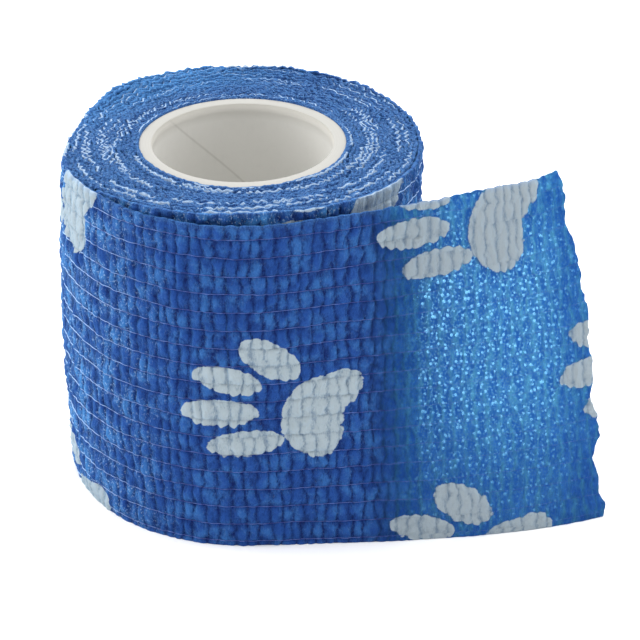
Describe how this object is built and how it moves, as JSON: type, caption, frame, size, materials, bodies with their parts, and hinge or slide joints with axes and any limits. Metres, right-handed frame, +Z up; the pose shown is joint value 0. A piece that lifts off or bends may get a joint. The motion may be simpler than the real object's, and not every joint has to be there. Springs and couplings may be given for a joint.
{
  "type": "cohesive bandage roll",
  "caption": "Creped self-adherent bandage wound on a short paper tube, standing on end with its loose end drawn off the front and left standing.",
  "frame": {"origin": "on the surface it stands on, under the middle of the box round the roll and its loose end; the roll's axis is 13.0 mm towards -X of it and 0.25 mm towards +Y", "axes": "+Z up along the roll's axis; -Y is the front, where the loose end leaves the roll; the loose end runs towards +X"},
  "size_m": [0.0758, 0.0498, 0.0512],
  "materials": {
    "creped_cloth": "matt creped nonwoven, cobalt blue with white paw prints and fine lilac elastic threads",
    "paper_tube": "matt cream-white wound paper"
  },
  "bodies": {
    "root": {"bandage": "creped_cloth", "core": "paper_tube"}
  },
  "joints": []
}
